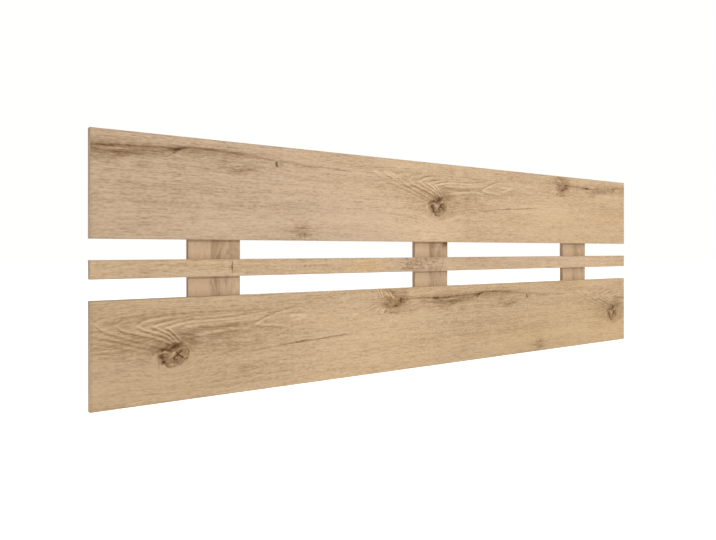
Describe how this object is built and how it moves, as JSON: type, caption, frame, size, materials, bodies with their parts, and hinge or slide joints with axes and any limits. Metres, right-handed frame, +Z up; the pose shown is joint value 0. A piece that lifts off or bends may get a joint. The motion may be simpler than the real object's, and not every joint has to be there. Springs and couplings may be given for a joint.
{
  "type": "headboard",
  "caption": "Wall-hung slatted headboard of oak-decor board: wide boards above and below a narrow slat, screwed to upright battens with keyhole hangers at the back.",
  "frame": {"origin": "in the wall plane, midway between the entry holes of the two keyhole hanger plates", "axes": "+X along the length to the right as seen from the bed, +Y out of the back into the wall, +Z up; the decor face looks to -Y"},
  "size_m": [1.6, 0.026, 0.5],
  "materials": {
    "oak_board": "matt knotty oak decor",
    "oak_batten": "matt oak decor, grain upright",
    "oak_edging": "matt oak decor edging",
    "hanger_steel": "zinc plated",
    "screw_steel": "yellow zinc plated"
  },
  "bodies": {
    "root": {"bottom_board": "oak_board", "bottom_board_left_band": "oak_edging", "bottom_board_lower_band": "oak_edging", "bottom_board_right_band": "oak_edging", "bottom_board_upper_band": "oak_edging", "centre_batten": "oak_batten", "centre_batten_left_band": "oak_edging", "centre_batten_right_band": "oak_edging", "centre_batten_screws": "screw_steel", "left_batten": "oak_batten", "left_batten_left_band": "oak_edging", "left_batten_right_band": "oak_edging", "left_batten_screws": "screw_steel", "left_hanger_plate": "hanger_steel", "middle_slat": "oak_board", "middle_slat_left_band": "oak_edging", "middle_slat_lower_band": "oak_edging", "middle_slat_right_band": "oak_edging", "middle_slat_upper_band": "oak_edging", "right_batten": "oak_batten", "right_batten_left_band": "oak_edging", "right_batten_right_band": "oak_edging", "right_batten_screws": "screw_steel", "right_hanger_plate": "hanger_steel", "top_board": "oak_board", "top_board_left_band": "oak_edging", "top_board_lower_band": "oak_edging", "top_board_right_band": "oak_edging", "top_board_upper_band": "oak_edging"}
  },
  "joints": []
}
